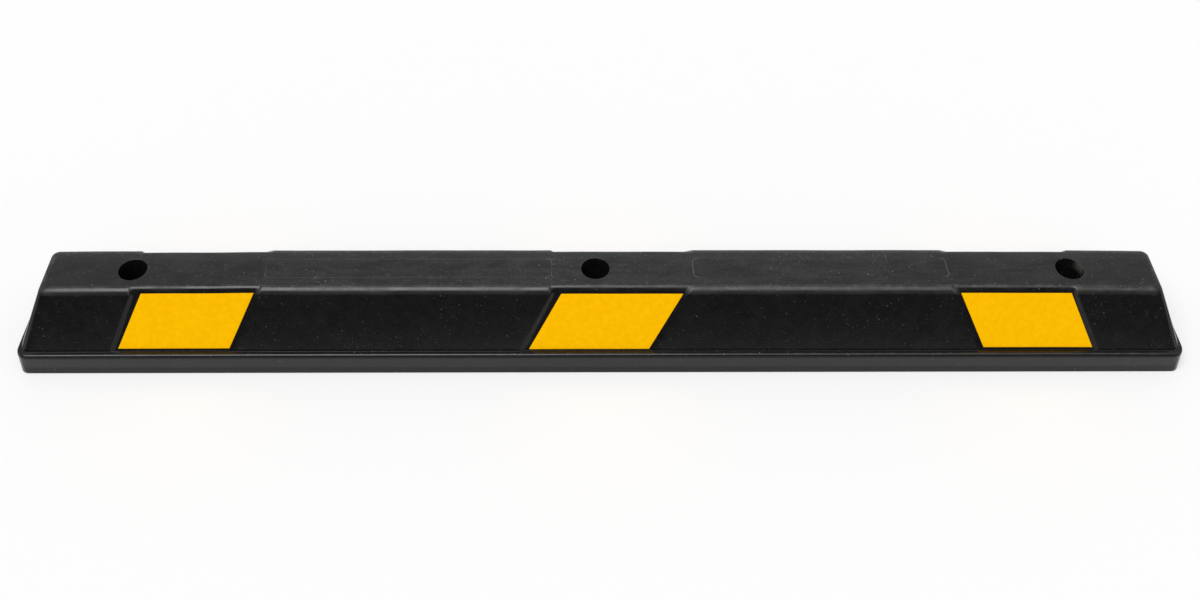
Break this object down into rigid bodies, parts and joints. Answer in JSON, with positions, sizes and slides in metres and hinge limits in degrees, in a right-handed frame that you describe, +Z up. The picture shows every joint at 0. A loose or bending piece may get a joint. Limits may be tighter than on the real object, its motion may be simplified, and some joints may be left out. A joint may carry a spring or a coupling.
{
  "type": "rubber wheel stop",
  "caption": "Long moulded rubber bar with hipped ends on a plinth, bolted to the ground to stop car wheels, with slanted reflective panels in its sloping sides.",
  "frame": {"origin": "middle of the underside, on the ground", "axes": "+X along the bar, to the right seen from the front; +Y from the front slope to the rear slope; +Z up"},
  "size_m": [1.379, 0.15, 0.1004],
  "materials": {
    "moulded_rubber": "satin moulded black rubber, lightly scuffed and dusty",
    "reflective_yellow": "flat yellow reflective sheeting with a faint bead grain"
  },
  "bodies": {
    "root": {"moulded_body": "moulded_rubber", "front_panel_left": "reflective_yellow", "front_panel_centre": "reflective_yellow", "front_panel_right": "reflective_yellow", "rear_panel_left": "reflective_yellow", "rear_panel_centre": "reflective_yellow", "rear_panel_right": "reflective_yellow"}
  },
  "joints": []
}
